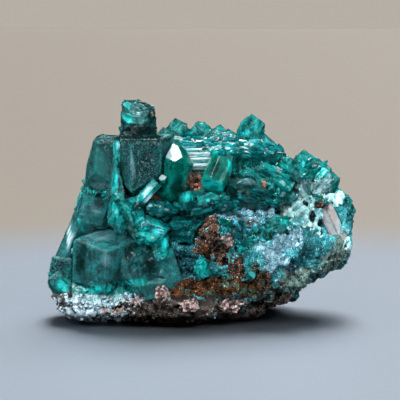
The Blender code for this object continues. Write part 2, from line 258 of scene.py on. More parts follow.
CRYSTALS = {
    "great_crystals": Relief("frosted", grooves=0.02, steps=0.01, broken_above=25.0),
    "rhombic_crystals": Relief("milky", grooves=0.01, steps=0.01, chips=0.10, swell=0.13),
    "left_edge_crystals": Relief("milky", grooves=0.04, steps=0.05, plates=0.05),
    "left_tip_crystals": Relief("frosted", grooves=0.02, swell=0.24),
    "centre_prism": Relief("emerald", grooves=0.0, steps=0.0, chips=0.04),
    "broken_crystals": Relief("turquoise", steps=0.06, plates=0.10, chips=0.15, fractures=0.12),
    "hexagonal_prism": Relief("green", grooves=0.03, steps=0.02, plates=0.03, chips=0.08),
    "mirror_prism": Relief("bright", grooves=0.02, steps=0.0, plates=0.12, chips=0.10),
    "small_tip_crystal": Relief("emerald", grooves=0.0, steps=0.0, chips=0.0),
    "small_rhombic_crystal": Relief("turquoise", grooves=0.01, steps=0.03, chips=0.05),
    "wedge_crystals": Relief("turquoise", plates=0.16, chips=0.12, fractures=0.12),
    "dark_wedge_crystal": Relief("deep", plates=0.12, steps=0.08, chips=0.15, fractures=0.2),
    "clear_mass": Relief("deep", plates=0.12, steps=0.08, chips=0.2, fractures=0.4),
    "front_crystal": Relief("turquoise", plates=0.10, chips=0.3, fractures=0.4, swell=-0.1),
    "dusty_crystal": Relief("dusty", grooves=0.02, steps=0.08, chips=0.2, fractures=0.12),
    "slanting_prisms": Relief("turquoise", plates=0.16, chips=0.15, fractures=0.1),
    "striated_prisms": Relief("bright", plates=0.30, chips=0.25, fractures=0.15),
    "upper_prism": Relief("bright", plates=0.28, chips=0.2, fractures=0.15),
    "peak_crystals": Relief("turquoise", plates=0.08, steps=0.06, chips=0.15, fractures=0.08),
    "ridge_crystals": Relief("turquoise", plates=0.10, chips=0.25, fractures=0.25),
    "ridge_end_crystal": Relief("turquoise", plates=0.10, chips=0.2, fractures=0.15),
    "right_crystals": Relief("turquoise", plates=0.16, chips=0.2, fractures=0.15),
    "clear_crystal": Relief("dusty", grooves=0.02, steps=0.03, chips=0.08),
    "right_small_crystal": Relief("turquoise", plates=0.1, chips=0.1),
    "pale_pocket_crystal": Relief("quartz", grooves=0.03, steps=0.05, chips=0.15, fractures=0.1,
                                  swell=0.15),
    "back_left_crystals": Relief("frosted", grooves=0.03, steps=0.06),
    "back_middle_crystals": Relief("emerald", grooves=0.03, plates=0.05, steps=0.03),
    "back_right_crystals": Relief("satin", grooves=0.03, plates=0.05, steps=0.03),
}

# Where crystals are brighter, paler, darker or more broken than their own finish says, as the
# photograph shows them: patches like the ore's.
# Most of these tones are painted light, highlights and shade.
TONES = {
    # Painted light: brighter turquoise where light falls on and shines through the crystals.
    "lit": ((116, 152, 4.5, 16), (115, 180, 4.5, 22), (117, 208, 8, 13), (125, 208, 7, 13),
            (151, 228, 16, 9), (143, 240, 10, 12), (81, 227, 4, 10), (147, 196, 9, 13),
            (186, 197, 8, 6), (198, 197, 8, 6), (220, 150, 14, 6), (258, 150, 20, 5),
            (326, 170, 11, 11), (201, 262, 9, 9), (104, 292, 36, 8), (166, 250, 5, 14),
            (285, 168, 12, 5), (62, 287, 9, 10), (206, 212, 14, 3), (135, 283, 22, 4),
            (218, 186, 8, 6), (230, 166, 3, 10), (126, 104, 5, 7), (127, 118, 7, 9),
            (334, 180, 8, 10)),
    # Painted light: glowing cyan spots.
    "glow": ((144, 223, 8, 8), (159, 231, 8, 8), (117, 145, 3, 5), (303, 163, 5, 4),
             (167, 244, 3, 6), (196, 259, 4, 4), (245, 133, 9, 3), (266, 148, 8, 3),
             (78, 222, 3, 5), (118, 180, 2, 14), (186, 196, 4, 3), (209, 200, 4, 3),
             (148, 196, 5, 12), (327, 169, 7, 8), (318, 178, 6, 5), (310, 190, 9, 8),
             (118, 210, 3, 10)),
    # Painted highlights: the glints and white bands that faces mirror, and white crust on a few crystals.
    "white": ((137, 110, 3, 4), (148, 195, 6, 13), (199, 158, 14, 20), (229, 139, 14, 6),
              (118, 146, 2, 4), (262, 150, 10, 4), (69, 236, 3, 16), (318, 188, 20, 13),
              (303, 192, 9, 12), (160, 231, 4, 4), (144, 223, 4, 4), (338, 224, 4, 12)),
    # Paler, milkier crystal, and one painted highlight streak down the front of the great crystal.
    "pale_and_sheen": ((98, 236, 18, 7), (249, 179, 9, 6), (272, 140, 12, 8), (284, 152, 8, 8),
             (96, 208, 8, 7), (132, 166, 2.5, 17), (70, 240, 5, 22), (106, 260, 5, 9),
             (100, 186, 11, 5)),
    "crusted": ((318, 187, 23, 12), (334, 180, 9, 16), (300, 188, 8, 8), (92, 300, 30, 7),
                (126, 298, 20, 5), (103, 305, 24, 7), (305, 192, 9, 14)),
    "satin": ((100, 168, 11, 26), (105, 135, 8, 6), (140, 115, 20, 14)),
    # Painted shade: near-black where shade falls between and under crystals.
    "shade": ((152, 113, 6, 14), (140, 130, 24, 7), (100, 203, 9, 8), (140, 206, 9, 6),
              (80, 262, 8, 16), (150, 268, 12, 14), (130, 234, 6, 8), (178, 190, 9, 16),
              (240, 196, 14, 6), (213, 172, 6, 8), (198, 134, 9, 3), (84, 250, 6, 10),
              (128, 254, 6, 12), (216, 166, 5, 10), (326, 207, 3, 6)),
    "ragged": ((105, 290, 40, 14), (150, 264, 26, 32), (245, 195, 24, 14), (140, 112, 16, 14),
               (117, 200, 5, 50), (123, 212, 14, 22), (143, 232, 20, 20), (188, 228, 16, 18),
               (172, 208, 12, 8), (62, 287, 8, 10), (100, 286, 36, 10), (103, 305, 22, 6)),
}

# Whole faces that mirror the light or stand in it, each named by a pixel that shows it; their colour is a
# painted highlight or painted light.
FACE_TONES = {"gleaming": ((176, 152), (163, 176)), "lit": ((214, 186),)}

GROOVE_WIDTH = 0.34
GROOVE_LENGTH = 5.0
STEP_SIZE = 2.6
STEP_COUNT = 5
PLATE_WIDTH = 0.62
PLATE_LENGTH = 2.6
CHIP_SIZE = 0.7
CHIP_REACH = 0.5
FRACTURE_SIZE = 1.1
RAGGED_DEPTH = 0.45
EDGE_WEAR_REACH = 0.25
# From this depth on, a crystal's plates differ in tint, and otherwise its faces do.
TINTED_PLATES = 0.07


def edge_distance(points, faces):
    """Distance of each point to the nearest outward edge of a bmesh."""
    samples = []
    for edge in faces.edges:
        if edge.is_manifold and edge.is_convex and edge.calc_face_angle() > SHARP_ANGLE:
            start, end = (vertex.co for vertex in edge.verts)
            count = max(2, math.ceil((end - start).length / EDGE_STEP))
            samples += [start.lerp(end, k / (count - 1)) for k in range(count)]
    tree = KDTree(len(samples))
    for k, sample in enumerate(samples):
        tree.insert(sample, k)
    tree.balance()
    return np.array([tree.find(point)[2] for point in points.tolist()])


def settle_on_faces(points, faces):
    """(points moved onto the flat faces, the number of the face that each one is on)."""
    tree = BVHTree.FromBMesh(faces)
    found = [tree.find_nearest(point) for point in points.tolist()]
    return np.array([spot[0] for spot in found]), np.array([spot[2] for spot in found])


def face_frames(faces):
    """(normal, grain direction) of each flat face. The grain runs along its longest edge."""
    faces.faces.ensure_lookup_table()
    normals = np.array([face.normal for face in faces.faces])
    grain = []
    for face in faces.faces:
        longest = max(face.edges, key=lambda edge: edge.calc_length())
        grain.append((longest.verts[1].co - longest.verts[0].co).normalized())
    return normals, np.array(grain)


def grooves(across, along, face):
    """Depth from 0 to 1 of straight grooves that run along the grain."""
    place = np.stack([across / GROOVE_WIDTH, along / GROOVE_LENGTH, face * 7.0], axis=1)
    return 0.6 * smooth_noise(place, 1.0, 11) + 0.4 * smooth_noise(place * 2.3, 1.0, 12)


def plates(across, along, face):
    """(depth from about 0 to 1 of long plates, each a little tilted, a random value of each plate)."""
    row = across / PLATE_WIDTH
    row = row + 0.45 * np.sin(row * 1.7 + face)
    band = np.floor(row)
    start = lattice_random(np.stack([band, face, face], axis=1).astype(np.int64), 15)
    column = np.floor(along / PLATE_LENGTH + 3 * start)
    cell = np.stack([band, column, face], axis=1).astype(np.int64)
    lift, tilt, own = (lattice_random(cell, 16 + k) for k in range(3))
    return 0.5 * lift + 1.1 * (tilt - 0.5) * (row - band - 0.5), own


def growth_steps(points, face):
    """Depth from 0 to 1 of the flat terraces that a crystal face grows in."""
    place = points / STEP_SIZE + face[:, None] * 3.7
    return np.floor(smooth_noise(place, 1.0, 21) * STEP_COUNT) / STEP_COUNT


def tones_at(points, tree):
    """How strong each tone is at each point, from 0 to 1."""
    wander = np.stack([rough_noise(points, 1.0, 55 + k) - 0.5 for k in range(3)], axis=1) * 0.8
    strength = {tone: np.zeros(len(points)) for tone in TONES}
    for tone, patches in TONES.items():
        for patch in patches:
            laid = laid_patch(tree, patch)
            if laid:
                strength[tone] = np.maximum(strength[tone], inside_patch(points + wander, *laid))
    return {tone: ramp(value, 0, 0.5) for tone, value in strength.items()}


def add_face_tones(tones, faces, face, stone):
    """Spreads painted light over the whole of each flat face that is named for it."""
    tree = BVHTree.FromBMesh(faces)
    for tone, spots in FACE_TONES.items():
        tones.setdefault(tone, np.zeros(len(face)))
        for spot in spots:
            place, _, number = behind_pixel(tree, *spot)
            if place and (place - behind_pixel(stone, *spot)[0]).length < WELD:
                tones[tone] = np.maximum(tones[tone], face == number)


def whole_stone():
    """A search tree of every node's faces, in millimetres."""
    stone = bmesh.new()
    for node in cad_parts.values():
        stone.from_mesh(node.data)
    stone.transform(Matrix.Scale(1 / MM, 4))
    tree = BVHTree.FromBMesh(stone)
    stone.free()
    return tree


def worn_depth(relief, points, face, across, along, edge, broken):
    """(how deep each point is worn below its flat face, the random value of its plate)."""
    fractures = np.maximum(relief.fractures, RAGGED_DEPTH * broken)
    chipping = ramp(edge, CHIP_REACH, 0) * ramp(rough_noise(points, CHIP_SIZE, 31), 0.42, 0.75)
    plate_depth, plate = plates(across, along, face)
    depth = relief.grooves * grooves(across, along, face) * (1 - broken)
    depth += relief.steps * growth_steps(points, face)
    depth += relief.plates * plate_depth
    depth += relief.chips * chipping
    depth += fractures * (0.5 + broken_facets(points, FRACTURE_SIZE, 41))
    depth += 0.3 * broken * rough_noise(points, 0.6, 43)
    return depth, plate


def make_crystal(node, stone):
    """The skin of a crystal node. Returns the points, normals and strength of the crust on it."""
    relief = CRYSTALS[node]
    coarse = flat_faces(node)
    bmesh.ops.dissolve_limit(coarse, angle_limit=FLAT_ANGLE, verts=coarse.verts, edges=coarse.edges)
    points, polygons = fine_grid(coarse, CRYSTAL_GRID)
    points, face = settle_on_faces(points, coarse)
    normals, grain = face_frames(coarse)
    normal, along_grain = normals[face], grain[face]
    along = (points * along_grain).sum(axis=1)
    across = (points * np.cross(normal, along_grain)).sum(axis=1)
    edge = edge_distance(points, coarse)
    tones = tones_at(points, stone)
    add_face_tones(tones, coarse, face, stone)
    coarse.free()

    broken = ramp(points[:, 2], relief.broken_above, relief.broken_above + 1.0)
    broken = np.max([broken, tones["ragged"], tones["crusted"]], axis=0)
    depth, plate = worn_depth(relief, points, face, across, along, edge, broken)
    moved = points + normal * (relief.swell - depth)[:, None]

    tint = random_for(face, 51, 1)[0]
    mesh = stored_mesh(node + "_skin", moved, polygons)
    store(mesh, "grain", np.stack([across, along, face * 1.7], axis=1))
    store(mesh, "edge", np.exp(-edge / EDGE_WEAR_REACH))
    store(mesh, "face_tint", np.where(relief.plates > TINTED_PLATES, plate, tint))
    store(mesh, "broken", np.clip(0.5 * broken + relief.fractures, 0, 1))
    for tone, strength in tones.items():
        store(mesh, tone, strength)
    mesh.shade_smooth()
    finish_piece(node + "_skin", mesh, crystal_material(FINISHES[relief.finish]), node)
    crusted = tones["crusted"] > 0
    return moved[crusted], normal[crusted], tones["crusted"][crusted]


def finish_piece(name, mesh, material, node=None):
    """Puts a mesh into the scene on the root body. A piece with a node replaces it: the node is hidden."""
    mesh.materials.append(material)
    piece = linked(name, mesh)
    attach(piece, "root")
    if node:
        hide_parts(node)


# Materials

class Graph:
    """Builds a material's nodes with short calls."""

    def __init__(self, name):
        self.material = bpy.data.materials.new(name)
        self.material.use_nodes = True
        self.nodes = self.material.node_tree.nodes
        self.links = self.material.node_tree.links
        self.shader = self.nodes["Principled BSDF"]
        place = self.nodes.new("ShaderNodeTexCoord").outputs["Object"]
        self.place = self.vector("SCALE", place, scale=1 / MM)

    def put(self, value, socket):
        if isinstance(value, bpy.types.NodeSocket):
            self.links.new(value, socket)
        elif value is not None:
            socket.default_value = value

    def math(self, operation, *values):
        node = self.nodes.new("ShaderNodeMath")
        node.operation = operation
        for value, socket in zip(values, node.inputs):
            self.put(value, socket)
        return node.outputs[0]

    def times(self, *values):
        """The product of two or more numbers."""
        product = values[0]
        for value in values[1:]:
            product = self.math("MULTIPLY", product, value)
        return product

    def plus(self, first, second):
        return self.math("ADD", first, second)

    def vector(self, operation, first, second=None, scale=None, output="Vector"):
        node = self.nodes.new("ShaderNodeVectorMath")
        node.operation = operation
        self.put(first, node.inputs[0])
        self.put(second, node.inputs[1])
        self.put(scale, node.inputs[3])
        return node.outputs[output]

    def attribute(self, name, vector=False):
        node = self.nodes.new("ShaderNodeAttribute")
        node.attribute_name = name
        return node.outputs["Vector" if vector else "Fac"]

    def noise(self, size, detail=3.0, place=None, distortion=0.0):
        """Noise whose features are this many millimetres across."""
        node = self.nodes.new("ShaderNodeTexNoise")
        self.put(place or self.place, node.inputs["Vector"])
        node.inputs["Scale"].default_value = 1 / size
        node.inputs["Detail"].default_value = detail
        node.inputs["Distortion"].default_value = distortion
        return node.outputs["Fac"]

    def cells(self, size, place=None):
        node = self.nodes.new("ShaderNodeTexVoronoi")
        self.put(place or self.place, node.inputs["Vector"])
        node.inputs["Scale"].default_value = 1 / size
        return node

    def parted(self, vector):
        """The first part of a vector or colour."""
        node = self.nodes.new("ShaderNodeSeparateXYZ")
        self.put(vector, node.inputs[0])
        return node.outputs[0]

    def facets(self, cell):
        """Height of a surface made of small planes that tilt at random, one for each cell."""
        place = cell.inputs["Vector"].links[0].from_socket
        away = self.vector("SUBTRACT", place, cell.outputs["Position"])
        tilt = self.vector("SUBTRACT", cell.outputs["Color"], (0.5, 0.5, 0.5))
        return self.vector("DOT_PRODUCT", away, tilt, output="Value")

    def ramp(self, value, low, high, to_low=0.0, to_high=1.0):
        node = self.nodes.new("ShaderNodeMapRange")
        node.interpolation_type = "SMOOTHSTEP"
        for value_in, socket in zip((value, low, high, to_low, to_high), node.inputs):
            self.put(value_in, socket)
        return node.outputs[0]

    def mix(self, share, first, second):
        node = self.nodes.new("ShaderNodeMix")
        node.data_type = "RGBA"
        self.put(share, node.inputs[0])
        self.put(first, node.inputs[6])
        self.put(second, node.inputs[7])
        return node.outputs[2]

    def blend(self, share, first, second):
        """The same for plain numbers."""
        node = self.nodes.new("ShaderNodeMix")
        self.put(share, node.inputs[0])
        self.put(first, node.inputs[2])
        self.put(second, node.inputs[3])
        return node.outputs[0]

    def bump(self, height, depth, below=None):
        """Bumps this many millimetres deep, on top of those below."""
        node = self.nodes.new("ShaderNodeBump")
        node.inputs["Distance"].default_value = depth * MM
        self.put(height, node.inputs["Height"])
        self.put(below, node.inputs["Normal"])
        return node.outputs[0]

    def absorb(self, colour, density):
        """Light that goes through a millimetre of the stone is dimmed by this density."""
        node = self.nodes.new("ShaderNodeVolumeAbsorption")
        node.inputs["Color"].default_value = colour
        node.inputs["Density"].default_value = density / MM
        self.links.new(node.outputs[0], self.nodes["Material Output"].inputs["Volume"])


def rgb(red, green, blue):
    return (red, green, blue, 1.0)


DIOPTASE_IOR = 1.66
QUARTZ_IOR = 1.54
DIOPTASE_ABSORBS = rgb(0.02, 0.68, 0.61)
FROST_COLOUR = rgb(0.13, 0.32, 0.33)
SATIN_COLOUR = rgb(0.032, 0.20, 0.20)
CHIPPED_COLOUR = rgb(0.01, 0.52, 0.50)
VEIL_COLOUR = rgb(0.02, 0.68, 0.66)
# Painted shade.
SHADE_COLOUR = rgb(0.001, 0.010, 0.010)
# Painted glints.
GLEAM_COLOUR = rgb(0.30, 0.80, 0.82)

# The tones that lie over a crystal's own colour, from the lowest to the topmost: its colour, the
# pattern that breaks it up, and that pattern's low and high value with the tone's strength there.
# Most of these tones paint light, highlights and shade.
TONE_LAYERS = (
    # Painted light.
    ("lit", rgb(0.008, 0.64, 0.60), "shard", (0.0, 1.0, 0.35, 1.0)),
    # Painted light.
    ("glow", rgb(0.04, 0.92, 0.98), "fissure", (0.35, 0.55, 0.3, 1.0)),
    # Paler crystal, and a painted highlight streak.
    ("pale_and_sheen", rgb(0.20, 0.40, 0.47), "lines", (0.35, 0.65, 0.2, 0.7)),
    # Painted highlights, and white crust.
    ("white", rgb(0.72, 0.95, 1.0), "lines", (0.46, 0.56, 0.0, 0.95)),
    # Painted highlight of a face that mirrors a lamp.
    ("gleaming", rgb(0.42, 0.58, 0.64), "lines", (0.35, 0.60, 0.7, 1.0)),
    ("crusted", rgb(0.55, 0.92, 0.94), "fissure", (0.35, 0.55, 0.0, 1.0)),
)


@dataclass
class Finish:
    """A variety of crystal: clouds of a brighter colour in a deep one, how clear it is, its
    smoothest and roughest roughness, how strong its frosting, veils of fractures, painted glints
    in streaks and worn edges are, how deep its grooves are in millimetres, how much its shards
    differ in colour and in tilt, and what its inside absorbs in a millimetre."""

    name: str
    deep: tuple
    bright: tuple
    clear: float
    rough: tuple
    frost: float
    veils: float
    grooves: float
    gloss: float = 0.3
    gleam: float = 0.0
    wear: float = 0.7
    shard_tint: float = 0.1
    shard_tilt: float = 0.04
    absorbs: tuple = DIOPTASE_ABSORBS
    density: float = 0.5
    ior: float = DIOPTASE_IOR


FINISHES = {
    "frosted": Finish("frosted_dioptase", rgb(0.008, 0.024, 0.028), rgb(0.014, 0.090, 0.098),
                      clear=0.2, rough=(0.20, 0.34), frost=1.0, veils=0.1, grooves=0.03,
                      gloss=0.25, shard_tint=0.0, shard_tilt=0.0),
    "satin": Finish("satin_dioptase", rgb(0.002, 0.07, 0.07), rgb(0.006, 0.22, 0.21),
                    clear=0.25, rough=(0.16, 0.30), frost=0.3, veils=0.15, grooves=0.05),
    "milky": Finish("milky_dioptase", rgb(0.012, 0.040, 0.040), rgb(0.030, 0.25, 0.27),
                    clear=0.25, rough=(0.14, 0.32), frost=0.45, veils=0.35, grooves=0.03,
                    wear=0.3, shard_tint=0.2),
    "emerald": Finish("emerald_dioptase", rgb(0.0003, 0.055, 0.040), rgb(0.001, 0.30, 0.23),
                      clear=0.4, rough=(0.05, 0.12), frost=0.04, veils=0.2, grooves=0.006,
                      gloss=0.7, shard_tint=0.0, shard_tilt=0.0, density=0.3),
    "green": Finish("green_dioptase", rgb(0.0003, 0.055, 0.042), rgb(0.001, 0.26, 0.20),
                    clear=0.4, rough=(0.08, 0.16), frost=0.04, veils=0.3, grooves=0.02,
                    gloss=0.05, shard_tint=0.0, shard_tilt=0.0, density=0.3),
    "deep": Finish("deep_dioptase", rgb(0.0005, 0.025, 0.032), rgb(0.004, 0.24, 0.26),
                   clear=0.4, rough=(0.07, 0.2), frost=0.15, veils=0.6, grooves=0.04,
                   gloss=0.4, shard_tint=0.3, shard_tilt=0.2),
    "turquoise": Finish("turquoise_dioptase", rgb(0.0003, 0.028, 0.027), rgb(0.004, 0.54, 0.52),
                        clear=0.35, rough=(0.06, 0.18), frost=0.12, veils=0.9, grooves=0.06,
                        gloss=0.6, gleam=0.2, shard_tint=0.35, shard_tilt=0.25, density=0.3),
    "bright": Finish("bright_dioptase", rgb(0.0003, 0.026, 0.028), rgb(0.008, 0.49, 0.53),
                     clear=0.30, rough=(0.06, 0.16), frost=0.05, veils=0.7, grooves=0.10,
                     gloss=0.8, gleam=0.3, shard_tint=0.3, shard_tilt=0.2, density=0.3),
    "dusty": Finish("dusty_dioptase", rgb(0.003, 0.030, 0.030), rgb(0.012, 0.13, 0.13),
                    clear=0.2, rough=(0.28, 0.45), frost=1.0, veils=0.1, grooves=0.03),
    "quartz": Finish("clouded_quartz", rgb(0.62, 0.46, 0.42), rgb(0.95, 0.92, 0.98),
                     clear=0.12, rough=(0.30, 0.55), frost=0.0, veils=0.0, grooves=0.04,
                     absorbs=rgb(0.95, 0.90, 0.88), density=0.3, ior=QUARTZ_IOR),
}


def crystal_patterns(graph):
    """(the patterns that colour a crystal, by name, the cells of its shards)."""
    grain = graph.attribute("grain", vector=True)
    shards = graph.cells(1.0, place=graph.vector("MULTIPLY", grain, (2.2, 0.8, 1.0)))
    stretched = graph.vector("MULTIPLY", grain, (4.2, 0.22, 1.0))
    patterns = {
        "lines": graph.noise(1.0, detail=4.0, place=stretched),
        "clouds": graph.ramp(graph.noise(1.5, detail=6.0, distortion=0.6), 0.42, 0.58),
        "fissure": graph.noise(0.8, detail=3.0, distortion=1.2),
        "shard": graph.ramp(graph.parted(shards.outputs["Color"]), 0.2, 0.8),
    }
    return patterns, shards


def own_colour(graph, finish, patterns):
    """A crystal's own colour with its veils and worn edges, below the tones."""
    lines, clouds, fissure = (patterns[name] for name in ("lines", "clouds", "fissure"))
    broken = graph.attribute("broken")
    share = graph.plus(graph.times(clouds, 0.6), graph.times(graph.attribute("face_tint"), 0.4))
    parted = graph.ramp(broken, 0.0, 0.8, finish.shard_tint, 0.6)
    colour = graph.mix(graph.blend(parted, share, patterns["shard"]), finish.deep, finish.bright)
    colour = graph.mix(graph.ramp(lines, 0.5, 0.75, 0.0, 0.5), colour, finish.bright)
    colour = graph.mix(graph.times(graph.attribute("satin"), 0.8), colour, SATIN_COLOUR)
    veil = graph.times(graph.ramp(fissure, 0.52, 0.60), graph.ramp(fissure, 0.70, 0.62),
                       graph.ramp(graph.plus(broken, clouds), 0.2, 1.2, 0.1, finish.veils))
    colour = graph.mix(veil, colour, VEIL_COLOUR)
    worn = graph.ramp(graph.noise(0.5, detail=2.0), 0.4, 0.65)
    return graph.mix(graph.times(graph.attribute("edge"), worn, finish.wear), colour, CHIPPED_COLOUR)


def with_tones(graph, patterns, colour):
    """(the colour with the tones over it, most of them painted light and shade, how much they cover)."""
    cover = 0.0
    for tone, tone_colour, pattern, limits in TONE_LAYERS:
        strength = graph.times(graph.attribute(tone), graph.ramp(patterns[pattern], *limits))
        colour = graph.mix(strength, colour, tone_colour)
        cover = graph.plus(cover, strength)
    return colour, cover


def frosting(graph, finish):
    """How strongly white specks cover a crystal. They stay off satin and broken places."""
    specks = graph.ramp(graph.noise(0.20, detail=2.0), 0.52, 0.68)
    patches = graph.ramp(graph.noise(1.4, detail=2.0), 0.35, 0.65, 0.3, 1.0)
    satin = graph.ramp(graph.attribute("satin"), 0.0, 1.0, 1.0, 0.2)
    whole = graph.ramp(graph.attribute("broken"), 0.05, 0.4, 1.0, 0.0)
    return graph.times(specks, patches, finish.frost, satin, whole)


def crystal_bumps(graph, finish, lines, shards):
    """Grooves, the frosting's grit and shards that tilt."""
    height = graph.bump(lines, finish.grooves)
    height = graph.bump(graph.noise(0.30, detail=3.0), 0.007 + 0.045 * finish.frost, below=height)
    tilt = graph.ramp(graph.attribute("broken"), 0.0, 0.8, finish.shard_tilt, 0.7)
    return graph.bump(graph.times(graph.facets(shards), tilt), 1.0, below=height)


def crystal_material(finish):
    made = bpy.data.materials.get(finish.name)
    if made:
        return made
    graph = Graph(finish.name)
    patterns, shards = crystal_patterns(graph)
    lines = patterns["lines"]
    colour, cover = with_tones(graph, patterns, own_colour(graph, finish, patterns))
    # Painted glints: pale streaks along the grain of the brighter faces.
    if finish.gleam:
        streaks = graph.ramp(lines, 0.52, 0.62)
        bright_faces = graph.ramp(graph.attribute("face_tint"), 0.3, 0.8)
        colour = graph.mix(graph.times(streaks, bright_faces, finish.gleam), colour, GLEAM_COLOUR)
    frost = frosting(graph, finish)
    colour = graph.mix(frost, colour, FROST_COLOUR)
    # Painted shade where the shade tone lies.
    colour = graph.mix(graph.times(graph.attribute("shade"), 0.8), colour, SHADE_COLOUR)
    roughness = graph.ramp(graph.noise(0.9, detail=3.0), 0.35, 0.7, *finish.rough)

    shader = graph.shader.inputs
    graph.put(colour, shader["Base Color"])
    graph.put(graph.blend(frost, roughness, 0.6), shader["Roughness"])
    graph.put(crystal_bumps(graph, finish, lines, shards), shader["Normal"])
    graph.put(graph.ramp(cover, 0.0, 0.8, finish.clear, 0.05), shader["Transmission Weight"])
    shader["IOR"].default_value = finish.ior
    shader["Specular IOR Level"].default_value = finish.gloss
    graph.absorb(finish.absorbs, finish.density)
    return graph.material


# Ore: which mineral shows where

PATCH_DEPTH = 1.4

# Patches of each mineral on the side that the photograph shows, in its pixels: the middle across
# and down, half the width and half the height. Each is laid on the stone behind that spot.
SEEN_PATCHES = {
    "green": ((170, 170, 80, 20), (257, 178, 55, 28), (228, 277, 10, 7), (268, 231, 22, 8),
              (247, 238, 9, 14), (214, 278, 22, 6)),
    "teal": ((175, 225, 22, 13), (120, 290, 42, 11), (265, 195, 40, 16), (80, 285, 20, 16),
             (214, 278, 20, 6), (340, 262, 12, 18), (350, 216, 6, 20)),
    "deep": ((187, 262, 13, 19), (221, 207, 14, 8), (143, 236, 18, 26), (235, 225, 20, 7),
             (292, 262, 5, 6)),
    "granular": ((308, 240, 26, 17), (322, 235, 14, 16), (300, 258, 24, 14), (250, 232, 22, 8),
                 (240, 240, 8, 10), (338, 245, 12, 28), (318, 264, 22, 14), (62, 287, 9, 14),
                 (250, 262, 7, 10), (110, 299, 36, 5)),
    "azure": ((255, 215, 24, 11), (229, 216, 16, 8)),
    "pale_and_sheen": ((284, 243, 18, 9), (272, 262, 11, 16), (298, 234, 8, 6), (293, 268, 9, 7),
             (260, 246, 8, 5)),
    "white": ((314, 190, 24, 20), (302, 205, 15, 22), (290, 215, 9, 14), (336, 199, 9, 9),
              (347, 240, 4, 9), (318, 222, 8, 14), (282, 196, 9, 8)),
    "brown": ((204, 226, 15, 11), (207, 243, 12, 14), (220, 252, 9, 13), (218, 241, 6, 6),
              (318, 205, 5, 6), (326, 212, 6, 12), (236, 266, 9, 14), (247, 224, 6, 4)),
    "salmon": ((157, 195, 6, 6), (195, 182, 10, 10), (234, 168, 3, 3), (265, 184, 3, 3)),
    "rust": ((215, 286, 60, 10), (178, 291, 14, 6), (205, 285, 15, 8), (235, 284, 13, 8),
             (262, 276, 8, 9), (206, 252, 5, 7)),
    "pink": ((234, 303, 16, 6), (190, 306, 10, 6), (115, 306, 12, 9), (138, 299, 13, 8),
             (160, 293, 8, 5), (228, 240, 5, 6)),
    "crust": ((92, 311, 36, 17), (75, 318, 18, 14), (162, 293, 9, 5), (208, 313, 7, 6),
              (135, 300, 14, 6)),
    "rock": ((160, 325, 50, 12), (272, 303, 25, 12)),
    "stain": ((300, 279, 27, 14), (330, 264, 15, 20), (262, 295, 16, 8), (340, 250, 10, 18)),
    "olive": ((258, 270, 7, 8), (228, 283, 7, 3), (246, 289, 9, 3), (246, 275, 6, 4),
              (188, 288, 6, 3), (214, 292, 9, 3), (222, 244, 5, 4)),
    # Painted shade: pits that are deepened and coloured near-black.
    "shaded_hole": ((305, 206, 4, 5), (313, 217, 3, 6), (322, 226, 3, 8), (226, 262, 3, 4),
             (216, 250, 3, 3), (203, 238, 3, 2), (236, 245, 3, 3), (198, 174, 6, 4),
             (98, 208, 8, 7)),
}

HIDDEN_PATCHES = 90
HIDDEN_REACH = 40.0
HIDDEN_SIZE = (1.2, 3.6)
HIDDEN_MINERALS = (
    (15.0, ("green", "teal", "deep", "green", "granular", "white", "brown")),
    (8.0, ("granular", "teal", "azure", "pale_and_sheen", "white", "brown", "deep", "rust", "green")),
    (-1.0, ("rock", "crust", "pink", "rust", "stain", "brown", "granular")),
)


def laid_patch(tree, patch):
    """(place on the stone, half sizes along the camera's axes) of a patch given in pixels."""
    across, down, wide, high = patch
    place = behind_pixel(tree, across, down)[0]
    if place:
        return place, (wide * PIXEL, high * PIXEL, PATCH_DEPTH * max(wide, high) * PIXEL)


def inside_patch(points, place, sizes):
    """How far inside a patch each point lies: 1 in its middle, 0 at its rim."""
    axes = np.array((RIGHT, UP, FORWARD))
    return 1 - np.linalg.norm((points - np.array(place)) @ axes.T / np.array(sizes), axis=1)


def seen_patches(tree):
    """(mineral, place on the ore, half sizes along the camera's axes) of the patches in the photograph."""
    for mineral, patches in SEEN_PATCHES.items():
        for patch in patches:
            laid = laid_patch(tree, patch)
            if laid:
                yield mineral, *laid


def hidden_patches(tree, middle):
    """The same for the sides and the back, scattered at random."""
    for turn, height, low, high, choice in zip(*random_for(np.arange(HIDDEN_PATCHES), 60, 5)):
        angle = math.radians(-60 + 300 * turn)
        out = Vector((math.cos(angle), math.sin(angle), 1.4 * height - 0.5)).normalized()
        place = tree.ray_cast(middle + out * HIDDEN_REACH, -out)[0]
        if place and (place - middle).dot(FORWARD) > 2:
            minerals = next(names for above, names in HIDDEN_MINERALS if place.z > above)
            sizes = [between(HIDDEN_SIZE, share) for share in (low, high, max(low, high))]
            yield minerals[int(choice * 0.999 * len(minerals))], place, sizes


def mineral_scores(points, tree, middle):
    """For each mineral, how far inside its nearest patch each point lies: 1 in the middle, 0 at the rim."""
    wander = np.stack([rough_noise(points, 1.6, 70 + k) - 0.5 for k in range(3)], axis=1) * 1.8
    scores = {mineral: np.full(len(points), -1.0) for mineral in ORE_LAYERS}
    for mineral, place, sizes in [*seen_patches(tree), *hidden_patches(tree, middle)]:
        inside = inside_patch(points + wander, place, sizes)
        scores[mineral] = np.maximum(scores[mineral], inside)
    height = points[:, 2] + 5 * (rough_noise(points, 5.0, 75) - 0.5)
    scores["green"] = np.maximum(scores["green"], ramp(height, 13, 19) - 0.35)
    scores["teal"] = np.maximum(scores["teal"], 1.2 * rough_noise(points, 4.0, 76) - 0.55)
    scores["granular"] = np.maximum(scores["granular"], ramp(height, 2.0, 6.0) - 0.5)
    scores["rock"] = np.maximum(scores["rock"], ramp(height, 4.0, 0.0) - 0.25)
    return scores


# Ore: relief

